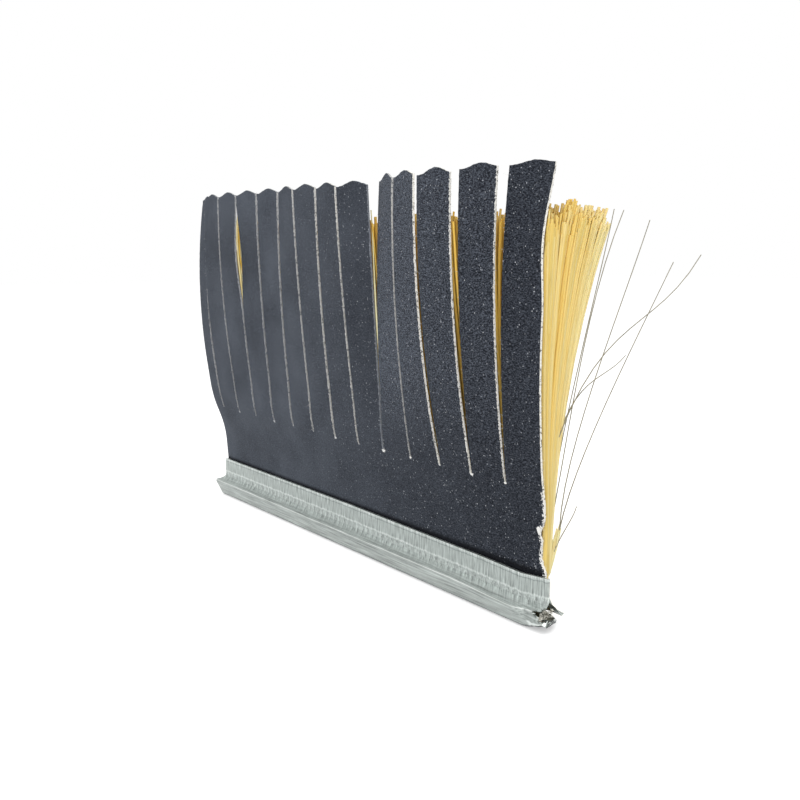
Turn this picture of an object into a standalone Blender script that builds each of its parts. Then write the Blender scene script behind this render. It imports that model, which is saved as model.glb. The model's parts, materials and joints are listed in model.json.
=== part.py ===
"""Sanding strip brush: slit abrasive cloth backed by a fan of plant fibre bristles.

Cloth and fibre are clamped in one roll-formed steel channel, whose anchor-shaped foot
slides into the groove of a brush drum. Metres, +Z up, +X along the strip, and the
abrasive side faces -Y. The origin is under the foot, halfway along the strip.
"""
import math

import bmesh
import bpy
from mathutils import Matrix, Vector

MM = 0.001

# Channel: one strip of galvanised sheet, rolled into a hollow foot with two clamping walls.
# Corner sizes are taken at the middle of the sheet.
STRIP_LENGTH = 100.0 * MM
SHEET_GAUGE = 0.4 * MM
CHANNEL_HEIGHT = 7.5 * MM
FOOT_WIDTH = 6.2 * MM
FLANGE_HEIGHT = 2.8 * MM
BASE_WIDTH = 3.2 * MM
FLARE_RADIUS = 1.5 * MM
HEM_INSIDE_RADIUS = 0.05 * MM
BASE_INSIDE_RADIUS = 0.3 * MM

# Layers in the clamp, from front to rear: cloth, then the two legs of the folded fibre.
CLAMP_GAP = 0.15 * MM
CLOTH_GAUGE = 0.4 * MM
FIBRE_BED = 1.0 * MM
WIRE_DIAMETER = 1.4 * MM

# Abrasive cloth: a band left whole above the channel, slit into flaps from there up.
CLOTH_HEIGHT = 60.0 * MM
SLIT_HEIGHT = 18.8 * MM
SLIT_PITCH = 7.4 * MM
SLIT_KERF = 0.4 * MM
LEAST_FLAP = 2.0 * MM
TIP_PEAK = 0.7 * MM
BEND_GAP = 0.3 * MM
BAND_LEAN_FIRST_END = 2.5 * MM
BAND_LEAN_LAST_END = 1.4 * MM

# The set that each flap has taken, from the first end to the last: how far its tip
# reaches forward of the clamp, how far it bows forward of the straight line from root
# to tip, and how far the tip is twisted about its own length.
FLAP_REACH = 5.0 * MM
FLAP_REACH_SHARES = (0.8, 1.1, 1.15, 1.05, 0.9, 1.0, 1.05, 1.1, 1.0, 0.7, 1.1, 1.05, 0.7, 0.15)
FLAP_BOW = 1.0 * MM
FLAP_BOW_SHARES = (1.9, 1.3, 0.8, 0.65, 0.5, 0.75, 0.25, 0.95, 0.1, 0.6, 1.5, 1.2, 1.1, 1.25)
FLAP_TWISTS = [
    math.radians(twist) for twist in (0, -3, 0, 1, 3, -8, 1, -6, 10, -17, -12, 2, 7, 13)
]

# Bristles: strands that stand in two rows on a slice of their fibre bed and fan out backwards.
BRISTLE_HEIGHT = 53.5 * MM
BRISTLE_RAGGEDNESS = 1.5 * MM
FAN_REACH = 9.0 * MM
SLICE_HEIGHT = 0.8 * MM
STRAND_PITCH = 0.6 * MM
STRAND_INSET = 0.06 * MM
STRAND_CLEARANCE = 0.5 * MM

# Shape of the curves
ARC_STEP = math.radians(14.0)
BAND_STEPS = 6
BAND_BEND_POWER = 1.4
FLAP_COLUMNS = 4
FLAP_ROWS = 7
FLAP_TWIST_POWER = 1.5
FLAP_PEAK_POWER = 1.6
FAN_BEND_POWER = 2.0
STRAND_STATIONS = (0.5, 1.0)
STRAND_TIP_SCALE = 0.8
GOLDEN_STEP = (math.sqrt(5.0) - 1.0) / 2.0

# Places that follow from the sizes above
FIRST_END_X = -STRIP_LENGTH / 2.0
LAST_END_X = STRIP_LENGTH / 2.0
MOUTH_WIDTH = CLOTH_GAUGE + FIBRE_BED + 3.0 * CLAMP_GAP
CLOTH_Y = -MOUTH_WIDTH / 2.0 + CLAMP_GAP + CLOTH_GAUGE / 2.0
FIBRE_Y = MOUTH_WIDTH / 2.0 - CLAMP_GAP - FIBRE_BED / 2.0
WIRE_HOLE_RADIUS = WIRE_DIAMETER / 2.0 + CLAMP_GAP
FOLD_RADIUS = WIRE_HOLE_RADIUS + (FIBRE_BED - CLAMP_GAP) / 2.0
WIRE_Z = SHEET_GAUGE + CLAMP_GAP + FOLD_RADIUS
CLOTH_FOOT_Z = WIRE_Z + FOLD_RADIUS + CLAMP_GAP
TUFT_HINGE_Y = FIBRE_Y + FIBRE_BED / 2.0
TUFT_HINGE_Z = CHANNEL_HEIGHT + BEND_GAP
SLICE_TOP_Z = TUFT_HINGE_Z + SLICE_HEIGHT


def clear_scene():
    """Remove whatever the file holds."""
    for old in list(bpy.data.objects):
        bpy.data.objects.remove(old, do_unlink=True)


def make_material(name, red, green, blue, roughness, metallic=0.0):
    """A Principled material from a linear colour."""
    material = bpy.data.materials.new(name)
    material.use_nodes = True
    shader = material.node_tree.nodes["Principled BSDF"]
    shader.inputs["Base Color"].default_value = (red, green, blue, 1.0)
    shader.inputs["Roughness"].default_value = roughness
    shader.inputs["Metallic"].default_value = metallic
    return material


def add_piece(name, shape, origin, material):
    """Turn a bmesh in world coordinates into an object whose origin is at the given point."""
    bmesh.ops.recalc_face_normals(shape, faces=shape.faces)
    bmesh.ops.transform(shape, matrix=Matrix.Translation(-origin), verts=shape.verts)
    mesh = bpy.data.meshes.new(name)
    shape.to_mesh(mesh)
    shape.free()
    mesh.materials.append(material)
    mesh.shade_smooth()
    mesh.set_sharp_from_angle(angle=math.radians(30.0))
    piece = bpy.data.objects.new(name, mesh)
    piece.location = origin
    bpy.context.collection.objects.link(piece)
    return piece


def thicken(piece, thickness):
    """Give a sheet its gauge, half to each side."""
    solidify = piece.modifiers.new("gauge", "SOLIDIFY")
    solidify.thickness = thickness
    solidify.offset = 0.0
    solidify.use_even_offset = True
    solidify.use_quality_normals = True


def sheet_from_rows(rows):
    """A bmesh of quads through rows of points."""
    shape = bmesh.new()
    vertex_rows = [[shape.verts.new(point) for point in row] for row in rows]
    for lower, upper in zip(vertex_rows, vertex_rows[1:]):
        for index in range(len(lower) - 1):
            shape.faces.new((lower[index], lower[index + 1], upper[index + 1], upper[index]))
    return shape


def arc_points(centre, radius, start, end):
    """Points (y, z) on an arc, with angles from +Z towards +Y."""
    steps = max(2, math.ceil(abs(end - start) / ARC_STEP))
    angles = [start + (end - start) * step / steps for step in range(steps + 1)]
    return [(centre[0] + radius * math.sin(a), centre[1] + radius * math.cos(a)) for a in angles]


def rounded_path(corners):
    """Points (y, z) along straight runs whose inner corners (y, z, radius) are rounded."""
    points = [Vector(corners[0][:2])]
    for before, corner, after in zip(corners, corners[1:], corners[2:]):
        apex = Vector(corner[:2])
        back = (Vector(before[:2]) - apex).normalized()
        ahead = (Vector(after[:2]) - apex).normalized()
        half_angle = back.angle(ahead) / 2.0
        centre = apex + (back + ahead).normalized() * corner[2] / math.sin(half_angle)
        spoke = apex + back * corner[2] / math.tan(half_angle) - centre
        turn = math.pi - 2.0 * half_angle
        side = 1.0 if back.x * ahead.y > back.y * ahead.x else -1.0
        steps = max(2, math.ceil(turn / ARC_STEP))
        for step in range(steps + 1):
            points.append(centre + Matrix.Rotation(-side * turn * step / steps, 2) @ spoke)
    points.append(Vector(corners[-1][:2]))
    return points


def make_channel(material):
    """Wall, flare, hemmed flange and base of one half, mirrored to the other half."""
    wall_y = (MOUTH_WIDTH + SHEET_GAUGE) / 2.0
    base_z = SHEET_GAUGE / 2.0
    hem_radius = HEM_INSIDE_RADIUS + SHEET_GAUGE / 2.0
    base_radius = BASE_INSIDE_RADIUS + SHEET_GAUGE / 2.0
    hem_angle = math.atan2(FLANGE_HEIGHT - base_z, (FOOT_WIDTH - BASE_WIDTH) / 2.0)
    flange_room = FOOT_WIDTH / 2.0 - wall_y - hem_radius / math.tan(hem_angle / 2.0)
    flare_radius = min(FLARE_RADIUS, flange_room)
    half = [
        (wall_y, CHANNEL_HEIGHT, 0.0),
        (wall_y, FLANGE_HEIGHT, flare_radius),
        (FOOT_WIDTH / 2.0, FLANGE_HEIGHT, hem_radius),
        (BASE_WIDTH / 2.0, base_z, base_radius),
    ]
    front = [(-y, z, radius) for y, z, radius in half]
    path = rounded_path(front + half[::-1])
    rows = [[(x, y, z) for x in (FIRST_END_X, LAST_END_X)] for y, z in path]
    channel = add_piece("channel", sheet_from_rows(rows), Vector(), material)
    thicken(channel, SHEET_GAUGE)


def extrude_along_strip(outline):
    """A bmesh prism of a closed outline (y, z), as long as the strip."""
    shape = bmesh.new()
    end_face = shape.faces.new([shape.verts.new((FIRST_END_X, y, z)) for y, z in outline])
    result = bmesh.ops.extrude_face_region(shape, geom=[end_face])
    far_points = [item for item in result["geom"] if isinstance(item, bmesh.types.BMVert)]
    bmesh.ops.translate(shape, vec=(STRIP_LENGTH, 0.0, 0.0), verts=far_points)
    return shape


def make_core_wire(material):
    """The wire that the fibres are folded over."""
    outline = arc_points((FIBRE_Y, WIRE_Z), WIRE_DIAMETER / 2.0, 0.0, math.tau)[:-1]
    add_piece("core_wire", extrude_along_strip(outline), Vector(), material)


def make_fibre_root(material):
    """The folded fibre inside the channel: a loop round the wire and two legs up to the mouth."""
    centre = (FIBRE_Y, WIRE_Z)
    half_bed = FIBRE_BED / 2.0
    half_slit = CLAMP_GAP / 2.0
    outer_start = math.asin(half_bed / FOLD_RADIUS)
    inner_start = math.asin(half_slit / WIRE_HOLE_RADIUS)
    outline = [(FIBRE_Y + half_bed, CHANNEL_HEIGHT)]
    outline += arc_points(centre, FOLD_RADIUS, outer_start, math.tau - outer_start)
    outline += [(FIBRE_Y - half_bed, CHANNEL_HEIGHT), (FIBRE_Y - half_slit, CHANNEL_HEIGHT)]
    outline += arc_points(centre, WIRE_HOLE_RADIUS, math.tau - inner_start, inner_start)
    outline += [(FIBRE_Y + half_slit, CHANNEL_HEIGHT)]
    add_piece("fibre_root", extrude_along_strip(outline), Vector(), material)


def band_lean(x):
    """How far the cloth leans forward at the slit roots, at a place along the strip."""
    share = (x - FIRST_END_X) / STRIP_LENGTH
    return BAND_LEAN_FIRST_END + (BAND_LEAN_LAST_END - BAND_LEAN_FIRST_END) * share


def band_y(x, z):
    """Middle of the whole cloth band at a height, upright in the clamp and leaning above it."""
    share = max(0.0, z - CHANNEL_HEIGHT) / (SLIT_HEIGHT - CHANNEL_HEIGHT)
    return CLOTH_Y - band_lean(x) * share ** BAND_BEND_POWER


def make_cloth_band(material):
    """The unslit part of the abrasive cloth, from inside the channel to the slit roots."""
    top_z = SLIT_HEIGHT - BEND_GAP / 2.0
    free_height = top_z - CHANNEL_HEIGHT
    heights = [CLOTH_FOOT_Z]
    heights += [CHANNEL_HEIGHT + free_height * step / BAND_STEPS for step in range(BAND_STEPS + 1)]
    rows = [[(x, band_y(x, z), z) for x in (FIRST_END_X, 0.0, LAST_END_X)] for z in heights]
    band = add_piece("cloth_band", sheet_from_rows(rows), Vector(), material)
    thicken(band, CLOTH_GAUGE)


class Flap:
    """One strip of slit cloth, and the place of the tuft behind it."""

    def __init__(self, number, first_x, last_x):
        self.number = number
        self.first_x = first_x + SLIT_KERF / 2.0
        self.last_x = last_x - SLIT_KERF / 2.0
        self.width = self.last_x - self.first_x
        self.middle_x = (first_x + last_x) / 2.0
        self.reach = FLAP_REACH * FLAP_REACH_SHARES[(number - 1) % len(FLAP_REACH_SHARES)]
        self.bow = FLAP_BOW * FLAP_BOW_SHARES[(number - 1) % len(FLAP_BOW_SHARES)]
        self.twist = FLAP_TWISTS[(number - 1) % len(FLAP_TWISTS)]

    def point(self, across, height):
        """Middle of the cloth at a share of the flap's width and a height above the slit root."""
        x = self.first_x + across * self.width
        share = height / (CLOTH_HEIGHT - SLIT_HEIGHT)
        root_y = CLOTH_Y - band_lean(x)
        tip_y = CLOTH_Y - self.reach
        y = root_y + (tip_y - root_y) * share - self.bow * 4.0 * share * (1.0 - share)
        angle = self.twist * share ** FLAP_TWIST_POWER
        offset = (across - 0.5) * self.width
        x = self.middle_x + offset * math.cos(angle)
        return Vector((x, y + offset * math.sin(angle), SLIT_HEIGHT + height))

    def cloth_y(self, across, z):
        """Middle of the cloth, band or flap, at a height above the foot."""
        if z > SLIT_HEIGHT:
            return self.point(across, z - SLIT_HEIGHT).y
        return band_y(self.first_x + across * self.width, z)


def flap_row():
    """Whole flaps counted from the last end, with what is left over at the first end."""
    whole = max(1, int(STRIP_LENGTH / SLIT_PITCH + 1e-6))
    left_over = STRIP_LENGTH - whole * SLIT_PITCH
    cuts = [LAST_END_X - SLIT_PITCH * index for index in range(whole, -1, -1)]
    if left_over >= LEAST_FLAP:
        cuts.insert(0, FIRST_END_X)
    cuts[0] = FIRST_END_X
    return [Flap(number, *ends) for number, ends in enumerate(zip(cuts, cuts[1:]), start=1)]


def make_flap(flap, material):
    """A flap that bends at its slit root, with a shallow peak cut at the tip."""
    root = BEND_GAP / 2.0
    rows = []
    for row in range(FLAP_ROWS + 1):
        points = []
        for column in range(FLAP_COLUMNS + 1):
            across = column / FLAP_COLUMNS
            drop = TIP_PEAK * abs(2.0 * across - 1.0) ** FLAP_PEAK_POWER
            length = CLOTH_HEIGHT - SLIT_HEIGHT - drop - root
            points.append(flap.point(across, root + length * row / FLAP_ROWS))
        rows.append(points)
    hinge = Vector((flap.middle_x, CLOTH_Y - band_lean(flap.middle_x), SLIT_HEIGHT))
    piece = add_piece(f"flap_{flap.number:02d}", sheet_from_rows(rows), hinge, material)
    thicken(piece, CLOTH_GAUGE)


def add_slice(shape, flap, lanes):
    """The slice of fibre bed under a tuft, and its top faces in pairs, one pair to a lane."""
    xs = [flap.first_x + flap.width * lane / lanes for lane in range(lanes + 1)]
    ys = (FIBRE_Y - FIBRE_BED / 2.0, FIBRE_Y, FIBRE_Y + FIBRE_BED / 2.0)
    top = [[shape.verts.new((x, y, SLICE_TOP_Z)) for y in ys] for x in xs]
    low = [[shape.verts.new((x, y, TUFT_HINGE_Z)) for y in (ys[0], ys[-1])] for x in (xs[0], xs[-1])]
    shape.faces.new((low[0][0], low[0][1], low[1][1], low[1][0]))
    shape.faces.new([low[0][0], low[1][0]] + [pair[0] for pair in reversed(top)])
    shape.faces.new([low[1][1], low[0][1]] + [pair[2] for pair in top])
    shape.faces.new([low[0][1], low[0][0]] + top[0])
    shape.faces.new([low[1][0], low[1][1]] + top[-1][::-1])
    lane_faces = []
    for left, right in zip(top, top[1:]):
        front = shape.faces.new((left[0], right[0], right[1], left[1]))
        rear = shape.faces.new((left[1], right[1], right[2], left[2]))
        lane_faces.append((front, rear))
    return lane_faces


def grow_strand(shape, face, flap, fan_share, tip_z):
    """Extrude one strand from its place on the slice, bending to its share of the fan."""
    x = face.calc_center_median().x
    across = (x - flap.first_x) / flap.width
    rear_y = FIBRE_Y + FIBRE_BED / 2.0
    for station in STRAND_STATIONS:
        z = SLICE_TOP_Z + (tip_z - SLICE_TOP_Z) * station
        front = flap.cloth_y(across, z) + CLOTH_GAUGE / 2.0 + STRAND_CLEARANCE
        rear = rear_y + (FAN_REACH - rear_y) * station ** FAN_BEND_POWER
        target = Vector((x, front + (rear - front) * fan_share, z))
        face = bmesh.ops.extrude_discrete_faces(shape, faces=[face])["faces"][0]
        centre = face.calc_center_median()
        for vertex in face.verts:
            vertex.co = target + (vertex.co - centre) * STRAND_TIP_SCALE ** station


def make_tuft(flap, material):
    """The bristles behind one flap: a front and a rear strand in each lane, so that none cross."""
    shape = bmesh.new()
    lanes = max(1, math.ceil(flap.width / STRAND_PITCH))
    lane_faces = add_slice(shape, flap, lanes)
    every_face = [face for pair in lane_faces for face in pair]
    bmesh.ops.inset_individual(shape, faces=every_face, thickness=STRAND_INSET)
    for lane, pair in enumerate(lane_faces):
        for row, face in enumerate(pair):
            spread = (lane + 3 * flap.number + 0.5 * row) * GOLDEN_STEP % 1.0
            ragged = (7 * lane + 5 * row + flap.number) * GOLDEN_STEP % 1.0
            tip_z = BRISTLE_HEIGHT - BRISTLE_RAGGEDNESS * ragged
            grow_strand(shape, face, flap, (row + 0.1 + 0.8 * spread) / 2.0, tip_z)
    hinge = Vector((flap.middle_x, TUFT_HINGE_Y, TUFT_HINGE_Z))
    add_piece(f"tuft_{flap.number:02d}", shape, hinge, material)


clear_scene()
make_channel(make_material("galvanised_sheet", 0.40, 0.43, 0.43, 0.42, metallic=1.0))
make_core_wire(make_material("drawn_wire", 0.46, 0.46, 0.45, 0.35, metallic=1.0))
make_fibre_root(make_material("folded_fibre", 0.56, 0.33, 0.09, 0.7))
make_cloth_band(make_material("abrasive_band", 0.040, 0.044, 0.055, 0.9))
for flap in flap_row():
    make_flap(flap, make_material(f"abrasive_{flap.number:02d}", 0.040, 0.044, 0.055, 0.9))
    make_tuft(flap, make_material(f"bristle_{flap.number:02d}", 0.76, 0.53, 0.15, 0.55))
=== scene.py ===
"""Looks of a sanding strip brush: slit abrasive cloth and fibre bristles in a steel channel."""
import json
import math

import bmesh
import bpy
import numpy as np
from mathutils import Euler, Matrix, Vector, noise


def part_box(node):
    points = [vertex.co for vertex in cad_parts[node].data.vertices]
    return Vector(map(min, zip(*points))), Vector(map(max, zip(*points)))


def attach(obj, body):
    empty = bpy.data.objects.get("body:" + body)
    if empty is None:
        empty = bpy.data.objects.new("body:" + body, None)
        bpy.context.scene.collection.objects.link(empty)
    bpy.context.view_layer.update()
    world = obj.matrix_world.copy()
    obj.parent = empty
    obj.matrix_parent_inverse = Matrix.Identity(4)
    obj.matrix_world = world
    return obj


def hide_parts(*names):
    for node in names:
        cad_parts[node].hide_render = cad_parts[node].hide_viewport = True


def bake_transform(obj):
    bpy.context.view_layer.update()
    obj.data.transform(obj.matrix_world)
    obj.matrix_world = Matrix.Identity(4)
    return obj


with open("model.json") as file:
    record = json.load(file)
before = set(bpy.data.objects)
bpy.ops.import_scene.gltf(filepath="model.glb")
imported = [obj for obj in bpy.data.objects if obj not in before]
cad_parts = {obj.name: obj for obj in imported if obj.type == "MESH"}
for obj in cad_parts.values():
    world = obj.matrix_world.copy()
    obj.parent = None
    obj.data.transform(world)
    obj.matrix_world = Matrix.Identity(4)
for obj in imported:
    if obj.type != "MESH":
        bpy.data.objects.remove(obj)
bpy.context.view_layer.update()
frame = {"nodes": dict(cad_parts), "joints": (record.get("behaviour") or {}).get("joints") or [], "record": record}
MM = 0.001

# Channel: one strip of galvanised steel sheet, roll-formed into a hollow anchor foot under two
# clamping walls. Toothed rolls crimped the walls onto the cloth and the fibre, and a shear cut
# the strip to length, which slanted and crushed its right-hand end.
channel_low, channel_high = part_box("channel")
mounts = {mount["name"]: mount["pos_m"] for mount in frame["record"]["mounts"]}
SHEET_GAUGE = 0.4 * MM
FLANGE_Z = 3.15 * MM
FLANGE_Y = 3.1 * MM
BASE_Y = 1.6 * MM
FLARE_RADIUS = 1.45 * MM
HEM_RADIUS = 0.25 * MM
BASE_RADIUS = 0.5 * MM
CORNER_STEPS = 6
CRIMP_DEPTH = 0.05 * MM
CRIMP_SPLIT_Z = 5.0 * MM
TOOTH_PITCH = 1.5 * MM
TOOTH_LEAN = 1.0
LIP_HEIGHT = 0.3 * MM
CUT_LENGTH = 10.0 * MM
CUT_TURNS = (-180, -138, -100, -77, -55, -5, 5, 26, 58, 66, 72, 78, 84, 100, 138, 180)
CUT_SHORTFALLS = (0.2, -0.6, 0.8, 1.8, 0.0, -0.3, 2.6, 2.7, 2.6, 1.6, 1.35, 1.5, 3.8, 5.0, 1.5, 0.2)
FOOT_MIDDLE_Z = 2.35 * MM
END_DROOP = 0.35 * MM
FLANGE_DRAW, BASE_CURL, TONGUE_DROOP, CRUSH_DEPTH = 0.9, 1.05, 1.2, 0.2
CRUSH_SEED = 1795596657
SAG_PLACES = (0.0, 27.0, 36.0, 45.0, 50.0)
SAG_DEPTHS = (0.0, 0.26, 0.33, 0.55, 0.1)
BURR_LENGTH = 0.6 * MM
FLAKES = 40
FLAKE_SIZE = (0.38 * MM, 0.26 * MM, 0.07 * MM)
FOOT_OVERHANG = 0.9 * MM
chance = np.random.default_rng(7)

wall_y = mounts["rear_wall"][1] - SHEET_GAUGE / 2
base_z = SHEET_GAUGE / 2
channel_top = channel_high.z
left_x, right_x = channel_low.x, channel_high.x


def select_only(piece):
    """Make a piece the only selected one, and the active one."""
    bpy.ops.object.select_all(action="DESELECT")
    piece.select_set(True)
    bpy.context.view_layer.objects.active = piece


def edit(piece):
    """Go into edit mode on the edges of a piece."""
    select_only(piece)
    bpy.ops.object.mode_set(mode="EDIT")
    bpy.ops.mesh.select_mode(type="EDGE")


def pick_edges(piece, wanted):
    """Select the edges whose two ends pass a test on their places."""
    bpy.ops.mesh.select_all(action="DESELECT")
    shape = bmesh.from_edit_mesh(piece.data)
    for edge in shape.edges:
        edge.select_set(bool(wanted(edge.verts[0].co, edge.verts[1].co)))
    bmesh.update_edit_mesh(piece.data)


def along_corner(y, z):
    """A test for the edge that runs along the strip at one corner of the profile."""
    return lambda a, b: all(math.hypot(p.y - y, p.z - z) < 0.02 * MM for p in (a, b))


def apply_modifier(piece, kind, **settings):
    """Add a modifier to a piece and apply it."""
    select_only(piece)
    modifier = piece.modifiers.new(kind.lower(), kind)
    for name, value in settings.items():
        setattr(modifier, name, value)
    bpy.ops.object.modifier_apply(modifier=modifier.name)


def ease(value):
    """A smooth step from 0 to 1."""
    value = np.clip(value, 0.0, 1.0)
    return value * value * (3.0 - 2.0 * value)


def store(piece, name, values):
    """Keep one number for each point of a piece, for its material to read."""
    piece.data.attributes.new(name, "FLOAT", "POINT").data.foreach_set("value", np.asarray(values, np.float32))


bends = [(wall_y, FLANGE_Z, FLARE_RADIUS), (FLANGE_Y, FLANGE_Z, HEM_RADIUS), (BASE_Y, base_z, BASE_RADIUS)]
bends = [(-y, z, radius) for y, z, radius in bends] + bends[::-1]
corners = [(-wall_y, channel_top)] + [bend[:2] for bend in bends] + [(wall_y, channel_top)]

bpy.ops.object.select_all(action="DESELECT")
bpy.ops.mesh.primitive_plane_add(size=1.0, location=(0.0, -wall_y, (channel_top + FLANGE_Z) / 2))
channel = bpy.context.object
channel.name = "formed_channel"
channel.rotation_euler.x = math.pi / 2
channel.scale = (right_x - left_x, channel_top - FLANGE_Z, 1.0)
bpy.ops.object.transform_apply(location=True, rotation=True, scale=True)
edit(channel)
for (y, z), (next_y, next_z) in zip(corners[1:], corners[2:]):
    pick_edges(channel, along_corner(y, z))
    bpy.ops.mesh.extrude_region_move(TRANSFORM_OT_translate={"value": (0.0, next_y - y, next_z - z)})
for before, bend, after in zip(corners, bends, corners[2:]):
    angle = (Vector(before) - Vector(bend[:2])).angle(Vector(after) - Vector(bend[:2]))
    pick_edges(channel, along_corner(*bend[:2]))
    bpy.ops.mesh.bevel(offset=bend[2] / math.tan(angle / 2), segments=CORNER_STEPS, affect="EDGES")
for on_wall, cuts in ((True, 15), (False, 5)):
    pick_edges(channel, lambda a, b: (
        abs(a.x - b.x) < MM < (a - b).length and (max(a.z, b.z) > CRIMP_SPLIT_Z) == on_wall
    ))
    bpy.ops.mesh.subdivide(number_cuts=cuts)
for cuts in (95, 4):
    pick_edges(channel, lambda a, b: abs(a.x - b.x) > 0.3 * MM)
    bpy.ops.mesh.subdivide(number_cuts=cuts)
bpy.ops.object.mode_set(mode="OBJECT")
apply_modifier(channel, "SOLIDIFY", thickness=SHEET_GAUGE, offset=0.0, use_even_offset=True)

# The crimping rolls left upright ridges 0.4 mm apart on the walls and bolder ones on the flares.
points = np.array([vertex.co for vertex in channel.data.vertices])
x, y, z = points.T
store(channel, "height", z)
side = np.sign(y)
outside = np.abs(y) > wall_y + 0.3 * SHEET_GAUGE
slanted = x - TOOTH_LEAN * np.abs(y)
ridges = np.array([noise.noise((a / (0.4 * MM), c / (5 * MM), 3.0 * s)) for a, c, s in zip(x, z, side)])
teeth = np.array([noise.noise((a / (0.5 * MM), c / (2 * MM), 9.0 * s)) for a, c, s in zip(slanted, z, side)])
on_wall = ease((z - CRIMP_SPLIT_Z) / (0.3 * MM)) * ease((channel_top - LIP_HEIGHT - z) / (0.15 * MM))
on_flare = ease((CRIMP_SPLIT_Z - 0.1 * MM - z) / (0.3 * MM)) * ease((z - 3.5 * MM) / (0.4 * MM))
lip = ease((z - channel_top + LIP_HEIGHT) / (0.1 * MM))
crimp = on_wall * (ridges - 0.35) + on_flare * (0.5 * teeth - 0.3) + 0.5 * lip
y += side * outside * CRIMP_DEPTH * crimp

# The shear's cut runs back from the front wall to the rear one. It drew the front flange in, curled
# the base up, bent the rear flange down as a tongue and left the metal ragged. The walls sag towards it.
# Sizes without MM are in millimetres. Vector noise starts from the clock unless it is seeded.
turn = np.degrees(np.arctan2(y, z - FOOT_MIDDLE_Z))
x -= ease((x - right_x + CUT_LENGTH) / CUT_LENGTH) * np.interp(turn, CUT_TURNS, CUT_SHORTFALLS) * MM
x -= ease((left_x + 5.0 * MM - x) / (5.0 * MM)) * ease((np.abs(turn) - 40) / 30) * FOOT_OVERHANG
front_flange = ease((-turn - 45) / 25) * ease((turn + 115) / 25)
rear_flange = ease((turn - 40) / 20) * ease((115 - turn) / 20)
underneath = ease((np.abs(turn) - 110) / 25)
y += front_flange * ease((x - right_x + 5.0 * MM) / (3.0 * MM)) * FLANGE_DRAW * MM
z += underneath * ease((x - right_x + 4.7 * MM) / (5.5 * MM)) * BASE_CURL * MM
z -= (front_flange + rear_flange) * ease((x - right_x + 20.0 * MM) / (15.0 * MM)) * END_DROOP
z -= ease((z - 3.6 * MM) / (1.3 * MM)) * np.interp(x / MM, SAG_PLACES, SAG_DEPTHS) * MM
tongue = rear_flange * ease((x - right_x + 7.0 * MM) / (5.0 * MM)) * ease((y - 1.3 * MM) / (1.5 * MM))
z -= tongue * TONGUE_DROOP * MM
noise.seed_set(CRUSH_SEED)
ragged = np.array([noise.noise_vector(point / (0.6 * MM)) for point in points])
crush = ease((x - right_x + 3.8 * MM) / (3.0 * MM)) * ease((4.8 * MM - z) / (1.6 * MM))
y += crush * ragged[:, 1] * CRUSH_DEPTH * MM
z += crush * ragged[:, 2] * CRUSH_DEPTH * MM
channel.data.vertices.foreach_set("co", np.stack([x, y, z], axis=1).ravel())

torn = bmesh.new()
torn.from_mesh(channel.data)
end_faces = [
    face for face in torn.faces
    if face.normal.x > 0.4 and face.calc_center_median().x > right_x - 3.5 * MM
    and face.calc_center_median().z < 3.2 * MM and face.calc_center_median().y < 1.2 * MM
]
for face in end_faces[::2]:
    centre = face.calc_center_median()
    lift = 0.9 if centre.z < 1.9 * MM else 0.1
    pull = noise.noise_vector(centre / (0.3 * MM)) * 0.9 + Vector((0.3, 0.0, lift))
    shard = bmesh.ops.extrude_discrete_faces(torn, faces=[face])["faces"][0]
    for vertex in shard.verts:
        vertex.co = centre + (vertex.co - centre) * 0.6 + pull * BURR_LENGTH
for _ in range(FLAKES):
    across = chance.uniform(-2.1, 0.6)
    spot = Vector((right_x - 0.8 * MM, 0.0, 0.0)) + Vector(
        (chance.uniform(-0.3, 0.3) - 0.3 * across, across, chance.uniform(1.9, 2.9))
    ) * MM
    size = Matrix.Diagonal((*FLAKE_SIZE, 1.0))
    tilt = Euler(chance.uniform(-math.pi, math.pi, 3)).to_matrix().to_4x4()
    flake = bmesh.ops.create_cube(torn, size=1.0, matrix=Matrix.Translation(spot) @ tilt @ size)["verts"]
    for face in {face for vertex in flake for face in vertex.link_faces}:
        face.material_index = 1
torn.to_mesh(channel.data)
torn.free()
channel.data.shade_smooth()
channel.data.set_sharp_from_angle(angle=math.radians(35.0))


def linear(code):
    """Linear colour of an sRGB hex code."""
    parts = [int(code[start:start + 2], 16) / 255 for start in (1, 3, 5)]
    return [part / 12.92 if part <= 0.04045 else ((part + 0.055) / 1.055) ** 2.4 for part in parts] + [1.0]


def add_node(tree, kind, inputs=None, out=0, **settings):
    """Add a node with its settings, link or set its inputs, a colour by its hex code, and return an output."""
    node = tree.nodes.new("ShaderNode" + kind)
    for name, value in settings.items():
        setattr(node, name, value)
    for name, value in (inputs or {}).items():
        if isinstance(value, bpy.types.NodeSocket):
            tree.links.new(value, node.inputs[name])
        else:
            node.inputs[name].default_value = linear(value) if isinstance(value, str) else value
    return node.outputs[out] if node.outputs else None


def new_material(name):
    """An empty node material and its tree."""
    material = bpy.data.materials.new(name)
    material.use_nodes = True
    material.node_tree.nodes.clear()
    return material, material.node_tree


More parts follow.
